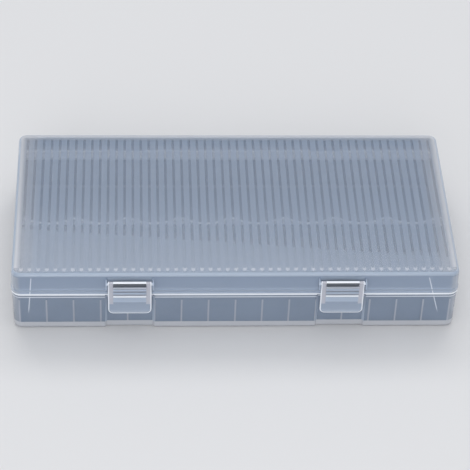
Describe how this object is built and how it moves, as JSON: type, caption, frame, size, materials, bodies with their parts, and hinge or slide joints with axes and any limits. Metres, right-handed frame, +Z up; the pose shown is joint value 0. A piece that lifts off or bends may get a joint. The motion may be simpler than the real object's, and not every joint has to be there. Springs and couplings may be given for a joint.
{
  "type": "hinged battery storage case",
  "caption": "Flat rectangular hinged-lid case in frosted plastic, with snap latches at the front and a base divided into two rows of small cell slots.",
  "frame": {"origin": "centre of the underside of the base, on the surface that the case stands on", "axes": "+X along the case to the right as seen from the front, the front with the latches faces -Y, +Z up out of the lid"},
  "size_m": [0.19, 0.103, 0.031],
  "materials": {
    "base_plastic": "translucent frosted polypropylene, satin inside and out",
    "lid_plastic": "translucent frosted polypropylene with clearer stripes on the underside ribs",
    "latch_plastic": "translucent polypropylene, smooth and slightly glossy",
    "pin_plastic": "translucent natural polypropylene"
  },
  "bodies": {
    "base": {"base_shell": "base_plastic", "hinge_pin_left": "pin_plastic", "hinge_pin_right": "pin_plastic"},
    "lid": {"lid_shell": "lid_plastic"},
    "left_latch": {"latch_left": "latch_plastic"},
    "right_latch": {"latch_right": "latch_plastic"}
  },
  "joints": [
    {"name": "lid_hinge", "type": "hinge", "parent": "base", "child": "lid", "pos_m": [0, 0.0504, 0.0193], "axis": [-1, 0, 0], "range_deg": [0, 180]},
    {"name": "latch_left_pivot", "type": "hinge", "parent": "lid", "child": "left_latch", "pos_m": [-0.0449, -0.0493, 0.027], "axis": [-1, 0, 0], "range_deg": [0, 110]},
    {"name": "latch_right_pivot", "type": "hinge", "parent": "lid", "child": "right_latch", "pos_m": [0.0449, -0.0493, 0.027], "axis": [-1, 0, 0], "range_deg": [0, 110]}
  ]
}
